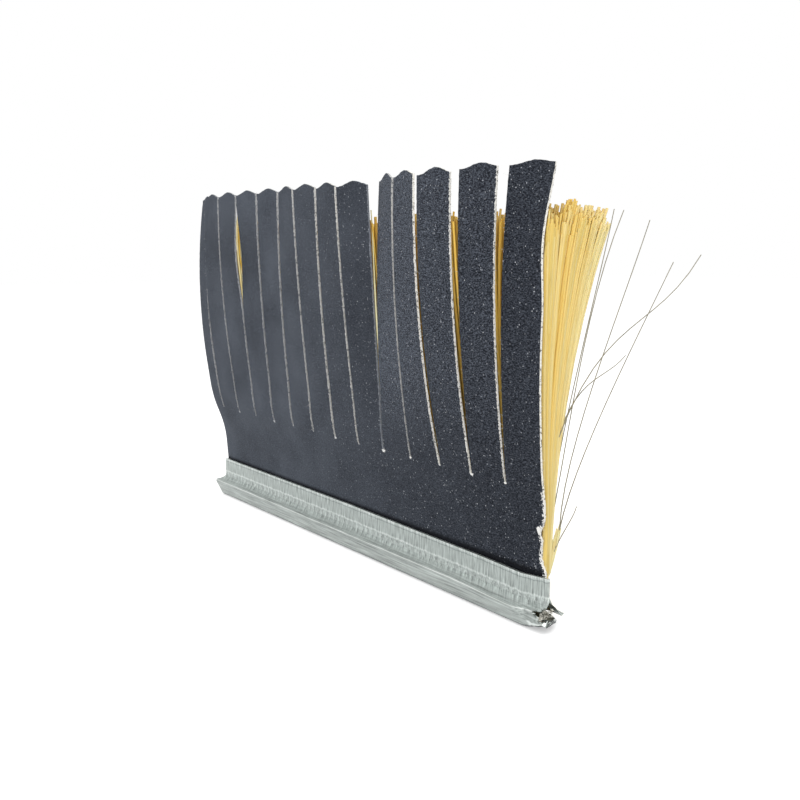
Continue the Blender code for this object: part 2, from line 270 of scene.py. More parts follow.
# Galvanised steel: dull zinc, scuffed upright by the crimping rolls, tooth marks on the flare, drawn lengthwise
# below the crease. Painted light lies in its height bands: a painted highlight on the lip and the crease, painted
# shade under the lip, the flare above the crease painted lighter against its shade, and a painted contact shadow
# along the bottom bend. A painted reflection lightens the curled foot at the crushed end. Heights are in
# millimetres, and WAVE_PERIOD is the length of a wave texture at scale 1.
# Painted light in these bands: the contact shadow up to 0.32 mm, the crease highlight at 3.13 to 3.17 mm, the
# flare lightened against its shade from 3.22 to 3.7 mm, the shade line under the lip at 7.0 mm and the lip's
# highlight above it.
STEEL_TONES_AND_PAINTED_LIGHT = (
    (0.0, "#33383a"), (0.2, "#4b5153"), (0.32, "#8d9492"), (0.5, "#a5aba8"), (2.65, "#a2a8a5"), (3.09, "#aab0ad"),
    (3.13, "#d9deda"), (3.17, "#d9deda"), (3.22, "#b4bab7"), (3.7, "#b4bbb8"), (4.1, "#aeb5b2"), (4.75, "#aeb5b2"),
    (4.88, "#c6ccc9"), (5.02, "#c6ccc9"), (5.2, "#a7aeab"), (6.85, "#a8afac"), (7.0, "#8a918f"), (7.12, "#b3bab7"),
    (7.5, "#c2c8c5"),
)
WAVE_PERIOD = 0.314
galvanised, tree = new_material("galvanised_steel")
place = add_node(tree, "TexCoord", out="Object")
along, sideways, _ = add_node(tree, "SeparateXYZ", {"Vector": place}).node.outputs
height = add_node(tree, "Attribute", attribute_name="height", out="Fac")
upright = add_node(tree, "Mapping", {"Vector": place, "Scale": (1 / (0.25 * MM), 0.0, 1 / (3 * MM))})
scuffs = add_node(tree, "TexNoise", {"Vector": upright, "Scale": 1.0, "Detail": 3.0, "Roughness": 0.6}, out="Fac")
outward = add_node(tree, "Math", {0: sideways}, operation="ABSOLUTE")
slanted = add_node(tree, "Math", {0: outward, 1: -TOOTH_LEAN, 2: along}, operation="MULTIPLY_ADD")
tooth_place = add_node(tree, "CombineXYZ", {"X": slanted, "Z": height})
leaves = add_node(tree, "TexWave", {
    "Vector": tooth_place, "Scale": WAVE_PERIOD / TOOTH_PITCH,
    "Distortion": 5.0, "Detail": 3.0, "Detail Scale": 5.0,
}, wave_profile="SAW", out="Fac")
tooth_scale = add_node(tree, "Mapping", {"Vector": tooth_place, "Scale": (1 / (0.25 * MM), 0.0, 1 / (0.8 * MM))})
scratches = add_node(
    tree, "TexNoise", {"Vector": tooth_scale, "Scale": 1.0, "Detail": 3.0, "Roughness": 0.6}, out="Fac"
)
teeth = add_node(tree, "Mix", {0: 0.16, 2: scratches, 3: leaves})
lengthwise = add_node(tree, "Mapping", {"Vector": place, "Scale": (1 / (8 * MM), 1 / (0.3 * MM), 1 / (0.3 * MM))})
lines = add_node(
    tree, "TexNoise", {"Vector": lengthwise, "Scale": 1.0, "Detail": 4.0, "Roughness": 0.7}, out="Fac"
)
above_crease = add_node(
    tree, "MapRange", {"Value": height, "From Min": FLANGE_Z + 0.1 * MM, "From Max": FLANGE_Z + 0.6 * MM}
)
above_split = add_node(
    tree, "MapRange",
    {"Value": height, "From Min": CRIMP_SPLIT_Z - 0.1 * MM, "From Max": CRIMP_SPLIT_Z + 0.1 * MM},
)
crimped = add_node(tree, "Mix", {0: above_split, 2: teeth, 3: scuffs})
marks = add_node(tree, "Mix", {0: above_crease, 2: lines, 3: crimped})
tone = add_node(
    tree, "MapRange",
    {"Value": marks, "From Min": 0.3, "From Max": 0.7, "To Min": 0.15, "To Max": 0.85},
)
blotches = add_node(tree, "TexNoise", {"Vector": place, "Scale": 1 / (0.8 * MM), "Detail": 4.0}, out="Fac")
unsteady = add_node(tree, "MapRange", {"Value": above_crease, "To Min": 0.06 * MM, "To Max": 0.4 * MM})
wobble = add_node(tree, "Math", {0: blotches, 1: 0.5}, operation="SUBTRACT")
wander = add_node(tree, "Math", {0: wobble, 1: unsteady, 2: height}, operation="MULTIPLY_ADD")
band_share = add_node(tree, "MapRange", {"Value": wander, "From Max": channel_top})
tones_and_painted_light = add_node(tree, "ValToRGB", {"Fac": band_share})
for band_height, code in STEEL_TONES_AND_PAINTED_LIGHT[1:-1]:
    tones_and_painted_light.node.color_ramp.elements.new(band_height * MM / channel_top).color = linear(code)
tones_and_painted_light.node.color_ramp.elements[0].color = linear(STEEL_TONES_AND_PAINTED_LIGHT[0][1])
tones_and_painted_light.node.color_ramp.elements[-1].color = linear(STEEL_TONES_AND_PAINTED_LIGHT[-1][1])
zinc = add_node(tree, "Mix", {0: 0.7, 6: tones_and_painted_light, 7: tone}, data_type="RGBA", blend_type="OVERLAY", out=2)
# Painted reflection: the underside of the curled foot at the crushed end is lightened as if it mirrored the white
# floor.
curled = add_node(
    tree, "MapRange", {"Value": along, "From Min": right_x - 2.9 * MM, "From Max": right_x - 2.4 * MM}
)
low = add_node(tree, "MapRange", {"Value": height, "From Min": 1.6 * MM, "From Max": 1.2 * MM, "To Max": 0.85})
off_floor = add_node(tree, "MapRange", {"Value": height, "From Min": 0.15 * MM, "From Max": 0.35 * MM})
curl = add_node(tree, "Math", {0: curled, 1: low}, operation="MULTIPLY")
painted_floor_reflection = add_node(tree, "Math", {0: curl, 1: off_floor}, operation="MULTIPLY")
zinc = add_node(tree, "Mix", {0: painted_floor_reflection, 6: zinc, 7: "#e4e9e6"}, data_type="RGBA", out=2)
shelf = add_node(tree, "Math", {0: height, 1: FLANGE_Z + 0.45 * MM, 2: 0.4 * MM}, operation="COMPARE")
patchy = add_node(tree, "MapRange", {"Value": blotches, "To Min": 0.36, "To Max": 0.6})
dullness = add_node(tree, "Math", {0: shelf, 1: 0.3, 2: patchy}, operation="MULTIPLY_ADD")
# Painted contact shadow: below 0.22 mm the steel has no metal shine, so the dark bottom bands stay dark at the
# grazing edge.
bare = add_node(tree, "MapRange", {"Value": height, "From Min": 0.22 * MM, "From Max": 0.4 * MM})
relief = add_node(tree, "Bump", {"Height": marks, "Strength": 0.6, "Distance": 0.06 * MM})
steel = add_node(tree, "BsdfPrincipled", {
    "Base Color": zinc, "Roughness": dullness, "Normal": relief, "Metallic": bare,
})
add_node(tree, "OutputMaterial", {"Surface": steel})
channel.data.materials.append(galvanised)

# Torn steel: the flakes that the shear left jammed in the crushed end, dull grey-brown.
torn_steel, tree = new_material("torn_steel")
place = add_node(tree, "TexCoord", out="Object")
mottle = add_node(tree, "TexNoise", {"Vector": place, "Scale": 1 / (0.4 * MM), "Detail": 2.0}, out="Fac")
mottled = add_node(tree, "MapRange", {"Value": mottle, "From Min": 0.35, "From Max": 0.65})
torn_colour = add_node(tree, "Mix", {0: mottled, 6: "#75736a", 7: "#dad8ce"}, data_type="RGBA", out=2)
flaky = add_node(tree, "BsdfPrincipled", {"Base Color": torn_colour, "Roughness": 0.6, "Metallic": 0.3})
add_node(tree, "OutputMaterial", {"Surface": flaky})
channel.data.materials.append(torn_steel)
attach(channel, "channel")
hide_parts("channel")

# Core wire: drawn steel wire laid in the foot, which the fibres are folded over. It was
# sheared off with the channel, and at the crushed end it stops short inside.
wire_low, wire_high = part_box("core_wire")
WIRE_SHORTFALL = 5.0 * MM
wire_radius = (wire_high.z - wire_low.z) / 2
wire_y, wire_z = (wire_low.y + wire_high.y) / 2, (wire_low.z + wire_high.z) / 2
wire_ends = (wire_low.x, wire_high.x - WIRE_SHORTFALL)
bpy.ops.object.select_all(action="DESELECT")
bpy.ops.mesh.primitive_cylinder_add(
    vertices=32, radius=wire_radius, depth=wire_ends[1] - wire_ends[0],
    location=(sum(wire_ends) / 2, wire_y, wire_z), rotation=(0.0, math.pi / 2, 0.0),
)
wire = bpy.context.object
wire.name = "drawn_wire"
bpy.ops.object.transform_apply(location=True, rotation=True)
apply_modifier(wire, "BEVEL", width=0.06 * MM, segments=2, limit_method="ANGLE")
wire.data.shade_smooth()
wire.data.set_sharp_from_angle(angle=math.radians(40.0))
drawn, tree = new_material("drawn_steel")
place = add_node(tree, "TexCoord", out="Object")
lengthwise = add_node(
    tree, "Mapping", {"Vector": place, "Scale": (1 / (20 * MM), 1 / (0.1 * MM), 1 / (0.1 * MM))}
)
lines = add_node(tree, "TexNoise", {"Vector": lengthwise, "Scale": 1.0, "Detail": 2.0}, out="Fac")
wire_colour = add_node(tree, "Mix", {0: lines, 6: "#8a8a86", 7: "#b9b8b2"}, data_type="RGBA", out=2)
relief = add_node(tree, "Bump", {"Height": lines, "Strength": 0.3, "Distance": 0.02 * MM})
steel = add_node(tree, "BsdfPrincipled", {
    "Base Color": wire_colour, "Normal": relief, "Roughness": 0.35, "Metallic": 1.0,
})
add_node(tree, "OutputMaterial", {"Surface": steel})
wire.data.materials.append(drawn)
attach(wire, "channel")
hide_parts("core_wire")

# Folded fibre: the lower ends of the bristles, bent double round the core wire, with their two
# legs standing up through the clamp. Stiff plant fibre, packed side by side.
FOLD_WIDTH = 0.34 * MM
FOLD_STEPS = 12
LEG_OFFSET = 0.28 * MM


def model_strand(name, sides, steps, tip_width):
    """One straight strand, a unit long and a unit in radius, narrowed at its tip."""
    bpy.ops.object.select_all(action="DESELECT")
    bpy.ops.mesh.primitive_cylinder_add(vertices=sides, radius=1.0, depth=1.0, location=(0.0, 0.0, 0.5))
    strand = bpy.context.object
    strand.name = name
    bpy.ops.object.transform_apply(location=True)
    edit(strand)
    pick_edges(strand, lambda a, b: a.z > 0.99 and b.z > 0.99)
    bpy.ops.transform.resize(value=(tip_width, tip_width, 1.0))
    pick_edges(strand, lambda a, b: abs(a.z - b.z) > 0.5)
    bpy.ops.mesh.subdivide(number_cuts=steps - 1)
    bpy.ops.object.mode_set(mode="OBJECT")
    return strand


def bend_copies(name, strand, paths, radii, across):
    """One piece of many copies of a strand, each bent along its own row of points."""
    shape = np.array([vertex.co for vertex in strand.data.vertices])
    steps = np.rint(shape[:, 2] * (paths.shape[1] - 1)).astype(int)
    along = np.gradient(paths, axis=1)
    along /= np.linalg.norm(along, axis=2, keepdims=True)
    side = across - along * (along @ np.array(across))[..., None]
    side /= np.linalg.norm(side, axis=2, keepdims=True)
    front = np.cross(along, side)
    section = side[:, steps] * shape[:, 0:1] + front[:, steps] * shape[:, 1:2]
    points = paths[:, steps] + section * radii[:, None, None]
    polygons = [tuple(polygon.vertices) for polygon in strand.data.polygons]
    count = len(shape)
    faces = [[corner + copy * count for corner in face] for copy in range(len(paths)) for face in polygons]
    mesh = bpy.data.meshes.new(name)
    mesh.from_pydata(points.reshape(-1, 3).tolist(), [], faces)
    mesh.shade_smooth()
    mesh.set_sharp_from_angle(angle=math.radians(80.0))
    piece = bpy.data.objects.new(name, mesh)
    bpy.context.collection.objects.link(piece)
    return piece


fold_radius = wire_radius + 0.55 * FOLD_WIDTH
meeting = math.asin(LEG_OFFSET / fold_radius)
turns = np.linspace(meeting, math.tau - meeting, FOLD_STEPS - 3)
loop = np.stack([wire_y + fold_radius * np.sin(turns), wire_z + fold_radius * np.cos(turns)], axis=1)
leg_heights = np.array([channel_top - 0.2 * MM, channel_top - 2.0 * MM])
rear_leg = np.stack([np.full(2, wire_y + LEG_OFFSET), leg_heights], axis=1)
front_leg = np.stack([np.full(2, wire_y - LEG_OFFSET), leg_heights[::-1]], axis=1)
fold = np.concatenate([rear_leg, loop, front_leg])
fold_x = np.arange(left_x + FOLD_WIDTH, right_x - WIRE_SHORTFALL, 0.95 * FOLD_WIDTH)
fold_paths = np.zeros((len(fold_x), len(fold), 3))
fold_paths[:, :, 0] = fold_x[:, None] + chance.normal(0.0, 0.03 * MM, (len(fold_x), len(fold)))
fold_paths[:, :, 1:] = fold
strand = model_strand("folded_strand", 4, FOLD_STEPS, 1.0)
folded_fibre = bend_copies("folded_fibre", strand, fold_paths, np.full(len(fold_x), FOLD_WIDTH / 2), (1, 0, 0))
store(folded_fibre, "shade", np.repeat(chance.random(len(fold_x)), len(strand.data.vertices)))
bpy.data.objects.remove(strand)

# Plant fibre: stiff straw-coloured bristle with a waxy skin that light soaks into. Each fibre
# has its own tone, with soft streaks along it a few millimetres long. Painted light makes the fibres paler towards
# the rear of the fan, and paints those seen in the slits a brighter, yellower gold for the light coming through
# the fan.
PAINTED_SLIT_LIGHT_BELOW = 0.12
straw, tree = new_material("plant_fibre")
place = add_node(tree, "TexCoord", out="Object")
shade = add_node(tree, "Attribute", attribute_name="shade", out="Fac")
upright = add_node(tree, "Mapping", {"Vector": place, "Scale": (1 / (0.4 * MM), 1 / (0.4 * MM), 1 / (8 * MM))})
streaks = add_node(tree, "TexNoise", {"Vector": upright, "Scale": 1.0, "Detail": 2.0}, out="Fac")
ripe = add_node(tree, "Mix", {0: shade, 6: "#e6c056", 7: "#f4efc1"}, data_type="RGBA", out=2)
streak = add_node(tree, "MapRange", {"Value": streaks, "From Min": 0.5, "From Max": 0.8, "To Max": 0.4})
fibre_colour = add_node(tree, "Mix", {0: streak, 6: ripe, 7: "#d8af46"}, data_type="RGBA", out=2)
painted_slit_light = add_node(
    tree, "MapRange", {"Value": shade, "From Max": PAINTED_SLIT_LIGHT_BELOW, "To Min": 1.0, "To Max": 0.0}
)
fibre_colour = add_node(tree, "Mix", {0: painted_slit_light, 6: fibre_colour, 7: "#ecc45c"}, data_type="RGBA", out=2)
fibre = add_node(tree, "BsdfPrincipled", {
    "Base Color": fibre_colour, "Roughness": 0.45, "Specular IOR Level": 0.35,
    "Subsurface Weight": 0.2, "Subsurface Radius": (1.0, 0.8, 0.5), "Subsurface Scale": 0.12 * MM,
})
add_node(tree, "OutputMaterial", {"Surface": fibre})
folded_fibre.data.materials.append(straw)
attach(folded_fibre, "channel")
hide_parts("fibre_root")

# Abrasive cloth: thin cotton cloth with dark grit bonded to its front, clamped in the channel
# in front of the fibre. The band below the slits is whole, but its right-hand corner is torn.
CLOTH_GAUGE = 0.3 * MM
BAND_ROW = 0.35 * MM
FLAP_COLUMNS = 24
SLIT_KERF = 0.34 * MM
TORN_HEIGHTS = (3.0, 7.2, 7.7, 8.6, 9.6, 12.0, 13.2, 13.9, 15.0, 17.0)
TORN_DEPTHS = (1.0, 1.0, 0.9, 1.4, 1.7, 1.3, 1.6, 0.9, 0.4, 0.05)
TORN_CHIPPING = 0.3
PEELED_PLACE = (48.45 * MM, 13.4 * MM)
PEELED_RADIUS = 0.45 * MM
LEFT_SET = 0.5 * MM
LEFT_SET_LENGTH = 12.0 * MM
LEFT_SOIL = 0.6
SOIL_START = 15.0 * MM
SOIL_LENGTH = 35.0 * MM
GOLDEN_RATIO = 0.618
LOOSE_LENGTH = 0.4 * MM
LOOSE_WIDTH = 0.05 * MM
TORN_THREADS = 70
flap_names = sorted(name for name in frame["nodes"] if name.startswith("flap_"))
hinges = {joint["child"]: joint["pos_m"] for joint in frame["joints"]}
slit_z = hinges[flap_names[0]][2]
band_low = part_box("cloth_band")[0]


def cad_points(node):
    """Places of a CAD node's points, a row for each."""
    return np.array([vertex.co for vertex in frame["nodes"][node].data.vertices])


def surface_terms(offset, share):
    """Terms of a surface that is a cubic in height, and straight but twisting in width."""
    offset, share = np.broadcast_arrays(offset, share)
    return np.stack([offset ** turn * share ** power for turn in (0, 1) for power in range(4)], axis=-1)


def fit_surface(points, middle, width, bottom, top):
    """The smooth middle surface of a CAD cloth solid, as y at a place x along the strip and a height z."""
    terms = surface_terms((points[:, 0] - middle) / width, (points[:, 2] - bottom) / (top - bottom))
    weights = np.linalg.lstsq(terms, points[:, 1], rcond=None)[0]
    return lambda x, z: surface_terms((x - middle) / width, (z - bottom) / (top - bottom)) @ weights


band_points = cad_points("cloth_band")
free_band = band_points[band_points[:, 2] > channel_top - 0.1 * MM]
free_y = fit_surface(free_band, 0.0, right_x - left_x, channel_top, slit_z)
clamped_y = float(np.mean(band_points[band_points[:, 2] < channel_top - MM, 1]))


def band_y(x, z):
    """Middle of the band: upright in the clamp, then the fitted surface, less bent at its left-hand end."""
    rise = np.clip((z - channel_top) / (2.0 * MM), 0.0, 1.0)
    share = np.clip((z - channel_top) / (slit_z + 3.0 * MM - channel_top), 0.0, 1.0)
    less_bent = LEFT_SET * ease((left_x + LEFT_SET_LENGTH - x) / LEFT_SET_LENGTH) * np.sin(math.pi * share) ** 2
    return clamped_y + (free_y(x, np.maximum(z, channel_top)) - clamped_y) * rise * (2.0 - rise) + less_bent


middles = [hinges[name][0] for name in flap_names]
slits = [(a + b) / 2 for a, b in zip(middles[1:], middles[2:])]
slits = [2 * middles[1] - slits[0]] + slits
cuts = [left_x - SLIT_KERF / 2] + slits + [right_x + SLIT_KERF / 2]
flap_ends = [(a + SLIT_KERF / 2, b - SLIT_KERF / 2) for a, b in zip(cuts, cuts[1:])]
column_x = np.concatenate([np.linspace(*ends, FLAP_COLUMNS + 1) for ends in flap_ends])


def left_soil(x):
    """How soiled the bare cotton is at a place along the strip: clean at the right, greyer at the left."""
    return LEFT_SOIL * np.clip((SOIL_START - x) / SOIL_LENGTH, 0.0, 1.0)


def lay_cloth(name, points, cut_distance, dust, soil):
    """A cloth piece through a grid of points (row, column), facing forward, with what its coat needs to know."""
    rows, columns = points.shape[0] - 1, points.shape[1] - 1
    bpy.ops.object.select_all(action="DESELECT")
    bpy.ops.mesh.primitive_grid_add(x_subdivisions=columns, y_subdivisions=rows, size=1.0)
    piece = bpy.context.object
    piece.name = name
    flat = np.array([vertex.co for vertex in piece.data.vertices]) + 0.5
    row, column = np.rint(flat[:, 1] * rows).astype(int), np.rint(flat[:, 0] * columns).astype(int)
    piece.data.vertices.foreach_set("co", points[row, column].ravel())
    for label, values in (("cut_distance", cut_distance / MM), ("dust", dust), ("soil", soil)):
        store(piece, label, values[row, column])
    return piece


heights = np.append(np.arange(band_low.z, slit_z, BAND_ROW), slit_z)
grid_x, grid_z = np.meshgrid(column_x, heights)
rough = np.array([noise.noise((1.0, 2.0, height / (0.45 * MM))) for height in heights])
torn_depth = np.interp(heights, np.array(TORN_HEIGHTS) * MM, np.array(TORN_DEPTHS) * MM) + 0.15 * MM * rough
pulled = np.clip((grid_x - right_x + 5.0 * MM) / (5.0 * MM), 0.0, 1.0) ** 2
torn_x = grid_x - pulled * torn_depth[:, None]
band_grid = np.stack([torn_x, band_y(torn_x, grid_z), grid_z], axis=-1)
peeled = np.hypot(torn_x - PEELED_PLACE[0], grid_z - PEELED_PLACE[1]) - PEELED_RADIUS
cut_distance = np.minimum(TORN_CHIPPING * (torn_x[:, -1:] - torn_x), grid_x - left_x + 0.2 * MM)
cut_distance = np.minimum(cut_distance, peeled)
for number, slit in enumerate(slits):
    fray = (0.1 + 0.3 * (number * GOLDEN_RATIO % 1.0)) * MM
    cut_distance = np.minimum(cut_distance, np.hypot(grid_x - slit, grid_z - slit_z) - fray)
band = lay_cloth("cloth_band_sheet", band_grid, cut_distance, np.zeros_like(grid_x), left_soil(grid_x))

# Abrasive coat: blue-black grit in resin, drawn coarser than real at 0.3 mm, with bright grains. A painted sheen
# lightens it towards the left-hand end, painted light lightens some flaps towards their tips and darkens the
# ninth, and a painted shadow darkens it just above the channel's lip. It is chipped off along the cuts, where the
# white cotton shows, soiled at the left.
coat, tree = new_material("abrasive_coat")
place = add_node(tree, "TexCoord", out="Object")
along, _, height = add_node(tree, "SeparateXYZ", {"Vector": place}).node.outputs
grit_place = add_node(
    tree, "Mapping", {"Vector": place, "Scale": (1 / (0.3 * MM), 1 / (0.22 * MM), 1 / (0.14 * MM))}
)
grit = add_node(
    tree, "TexNoise", {"Vector": grit_place, "Scale": 1.0, "Detail": 3.0, "Roughness": 0.6}, out="Fac"
)
# Painted light: each flap's grit tone is lifted by its own value, lighter on some flaps towards their tips and
# darker on the ninth, for how its tilt meets the light.
own_painted_light = add_node(tree, "Attribute", attribute_name="dust", out="Fac")
painted_lift = add_node(tree, "Math", {0: own_painted_light, 1: 0.9, 2: 1.0}, operation="MULTIPLY_ADD")
grit_tone = add_node(tree, "MapRange", {"Value": grit, "From Min": 0.42, "From Max": 0.9})
lit_grit_tone = add_node(tree, "Math", {0: painted_lift, 1: grit_tone}, operation="MULTIPLY", use_clamp=True)
grit_colour = add_node(tree, "Mix", {0: lit_grit_tone, 6: "#181b22", 7: "#666c77"}, data_type="RGBA", out=2)
# Painted sheen: the coat lightened in blotches towards the left-hand end, where it is seen at a grazing angle.
dust = add_node(tree, "TexNoise", {"Vector": place, "Scale": 1 / (9 * MM), "Detail": 3.0}, out="Fac")
leftward = add_node(tree, "MapRange", {"Value": along, "From Min": 40 * MM, "From Max": -20 * MM, "To Max": 0.85})
sheen_share = add_node(tree, "Math", {0: dust, 1: leftward}, operation="MULTIPLY", use_clamp=True)
sheened = add_node(tree, "Mix", {0: sheen_share, 6: grit_colour, 7: "#666c76"}, data_type="RGBA", out=2)
grains = add_node(tree, "TexVoronoi", {"Vector": place, "Scale": 1 / (0.27 * MM)}).node.outputs
kind = add_node(tree, "SeparateColor", {"Color": grains["Color"]})
rare = add_node(tree, "MapRange", {"Value": kind, "From Min": 0.77, "From Max": 1.0})
bright = add_node(tree, "Math", {0: rare, 1: 3.6}, operation="POWER")
facet = add_node(tree, "MapRange", {"Value": grains["Distance"], "From Min": 0.42, "From Max": 0.15})
clean = add_node(
    tree, "MapRange", {"Value": along, "From Min": -15 * MM, "From Max": 20 * MM, "To Min": 0.12, "To Max": 0.85}
)
glint = add_node(tree, "Math", {0: bright, 1: facet}, operation="MULTIPLY")
sparkle = add_node(tree, "Math", {0: glint, 1: clean}, operation="MULTIPLY")
sparkling = add_node(tree, "Mix", {0: sparkle, 6: sheened, 7: "#e3e6ec"}, data_type="RGBA", out=2)
# Painted shadow: the coat darkened just above the channel's lip, where the cloth goes into the mouth.
at_mouth = add_node(
    tree, "MapRange",
    {"Value": height, "From Min": channel_top + 0.7 * MM, "From Max": channel_top + 0.1 * MM, "To Max": 0.85},
)
shaded = add_node(tree, "Mix", {0: at_mouth, 6: sparkling, 7: "#0b0c10"}, data_type="RGBA", out=2)
chips = add_node(tree, "TexNoise", {"Vector": place, "Scale": 1 / (0.3 * MM), "Detail": 3.0}, out="Fac")
chip_width = add_node(tree, "MapRange", {"Value": chips, "From Min": 0.42, "From Max": 0.75, "To Max": 0.26})
cut = add_node(tree, "Attribute", attribute_name="cut_distance", out="Fac")
bare = add_node(tree, "Math", {0: chip_width, 1: cut}, operation="SUBTRACT")
bared = add_node(tree, "MapRange", {"Value": bare, "From Min": 0.0, "From Max": 0.06})
soil = add_node(tree, "Attribute", attribute_name="soil", out="Fac")
thread_colour = add_node(tree, "Mix", {0: soil, 6: "#faf9f6", 7: "#667080"}, data_type="RGBA", out=2)
coat_colour = add_node(tree, "Mix", {0: bared, 6: shaded, 7: thread_colour}, data_type="RGBA", out=2)
relief = add_node(tree, "Bump", {"Height": grit, "Strength": 0.8, "Distance": 0.12 * MM})
coated = add_node(tree, "BsdfPrincipled", {
    "Base Color": coat_colour, "Normal": relief, "Roughness": 0.7, "Specular IOR Level": 0.06,
})
add_node(tree, "OutputMaterial", {"Surface": coated})

# Cotton back: unbleached twill, filled with size, so it is stiff and dull.
THREAD_PITCH = 0.45 * MM
cotton, tree = new_material("cotton_back")
place = add_node(tree, "TexCoord", out="Object")
warp, weft = (
    add_node(tree, "TexWave", {
        "Vector": place, "Scale": WAVE_PERIOD / THREAD_PITCH, "Distortion": 0.6,
    }, out="Fac", bands_direction=way) for way in "XZ"
)
weave = add_node(tree, "Math", {0: warp, 1: weft}, operation="MULTIPLY")
cotton_colour = add_node(tree, "Mix", {0: weave, 6: "#a8946e", 7: "#d9caa8"}, data_type="RGBA", out=2)
relief = add_node(tree, "Bump", {"Height": weave, "Strength": 0.6, "Distance": 0.1 * MM})
woven = add_node(tree, "BsdfPrincipled", {
    "Base Color": cotton_colour, "Normal": relief, "Roughness": 0.9, "Specular IOR Level": 0.2,
})
add_node(tree, "OutputMaterial", {"Surface": woven})

# Cut edge: the cotton laid bare by the slitting knife, white thread ends with dark crumbs of grit,
# soiled towards the left-hand end.
cut_cotton, tree = new_material("cut_cotton")
place = add_node(tree, "TexCoord", out="Object")
threads = add_node(tree, "TexVoronoi", {"Vector": place, "Scale": 1 / (0.25 * MM)}, out="Distance")
thread_colour = add_node(tree, "Mix", {0: threads, 6: "#fbfaf6", 7: "#e0dcd2"}, data_type="RGBA", out=2)
crumbs = add_node(tree, "TexNoise", {"Vector": place, "Scale": 1 / (0.32 * MM), "Detail": 3.0}, out="Fac")
crumb_share = add_node(tree, "MapRange", {"Value": crumbs, "From Min": 0.57, "From Max": 0.63, "To Max": 0.85})
gritty = add_node(tree, "Mix", {0: crumb_share, 6: thread_colour, 7: "#4f4d49"}, data_type="RGBA", out=2)
soil = add_node(tree, "Attribute", attribute_name="soil", out="Fac")
edge_colour = add_node(tree, "Mix", {0: soil, 6: gritty, 7: "#667080"}, data_type="RGBA", out=2)
relief = add_node(tree, "Bump", {"Height": threads, "Strength": 0.8, "Distance": 0.08 * MM})
frayed = add_node(tree, "BsdfPrincipled", {
    "Base Color": edge_colour, "Normal": relief, "Roughness": 0.95, "Specular IOR Level": 0.1,
})
add_node(tree, "OutputMaterial", {"Surface": frayed})


def give_gauge(piece):
    """Thicken a cloth piece, with grit in front, cotton behind and bare thread ends at its cuts."""
    for material in (coat, cotton, cut_cotton):
        piece.data.materials.append(material)
    apply_modifier(
        piece, "SOLIDIFY", thickness=CLOTH_GAUGE, offset=0.0, use_even_offset=True,
        material_offset=1, material_offset_rim=2,
    )
    piece.data.shade_smooth()
    piece.data.set_sharp_from_angle(angle=math.radians(50.0))


loose_end = model_strand("loose_end", 3, 2, 0.3)


def fray(piece, roots, turned, soil):
    """Join loose ends of cotton to a cloth piece, at points along its cuts."""
    count = len(roots)
    roots = roots + np.stack([np.zeros(count), chance.uniform(-0.15, 0.15, count) * MM, np.zeros(count)], axis=1)
    heading = np.stack([turned, chance.normal(-0.3, 0.5, count), chance.normal(0.0, 0.6, count)], axis=1)
    reach = (0.1 * MM + LOOSE_LENGTH * chance.random(count) ** 2)[:, None] * heading
    curl = chance.normal(0.0, 0.08 * MM, (count, 3))
    thread_paths = np.stack([roots, roots + 0.5 * reach + curl, roots + reach], axis=1)
    threads = bend_copies("loose_threads", loose_end, thread_paths, np.full(count, LOOSE_WIDTH / 2), (0, 0, 1))
    threads.data.materials.append(cut_cotton)
    store(threads, "cut_distance", np.zeros(len(threads.data.vertices)))
    store(threads, "soil", np.repeat(soil, len(loose_end.data.vertices)))
    select_only(piece)
    threads.select_set(True)
    bpy.ops.object.join()


give_gauge(band)
torn_rows = chance.integers(np.searchsorted(heights, channel_top), len(heights), TORN_THREADS)
torn_roots = band_grid[torn_rows, -1] - np.array([0.1 * MM, 0.0, 0.0])
fray(band, torn_roots, np.ones(TORN_THREADS), np.zeros(TORN_THREADS))
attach(band, "channel")
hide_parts("cloth_band")

# Flaps: the same cloth above the band, slit by knife every 7.4 mm and cut to a wave at the tips.
# Each has taken its own set in use, and the last is cupped. The slits are frayed, with loose ends of cotton.
FLAP_ROW = 0.4 * MM
WAVE_DEPTHS = (0.75,) * 9 + (1.0, 1.2, 1.4, 1.0, 0.75)
WAVE_PEAK = 0.56
ROUNDED_FROM = 11
TIP_TRIMS = (0.2, 0.25, 0.25, 0.2, 0.15, 0.1, 0.0, -0.2, -0.4, 0.3, 0.1, 0.0, 0.1, 0.0)
ROOT_EASE = 8.0 * MM
RAGGED_EDGE = 0.07 * MM
LOOSE_ENDS = 130
CLOSED_STEPS = {2: 0.02, 3: 0.06, 4: 0.1, 5: 0.1, 6: 0.04, 7: 0.08, 8: 0.0, 10: -0.06, 11: 0.3}
CLOSED_RISE = 4.0 * MM
GAPING_SLIT = 3
GAPE_HEIGHTS = (19.0 * MM, 40.0 * MM)
GAPE_DEPTH = 1.0 * MM
CUPPED_EDGE = 0.75 * MM
CUP_HEIGHTS = (22.0 * MM, 41.0 * MM)
SHARP_EDGED = 11
SHARP_GAP = 0.22 * MM
CHIPPED_GAP = 0.06 * MM
# Painted light for each flap's tilt: its grit lightened towards the tip, and darkened on the ninth flap, whose
# value is below zero.
FLAP_PAINTED_LIGHT = {9: -0.3, 10: 2.0, 11: 1.55, 12: 0.85, 13: 0.6, 14: 0.1}
PAINTED_LIGHT_RISE = 16.0 * MM
FLAP_SOIL = {9: 0.75, 10: 0.45}


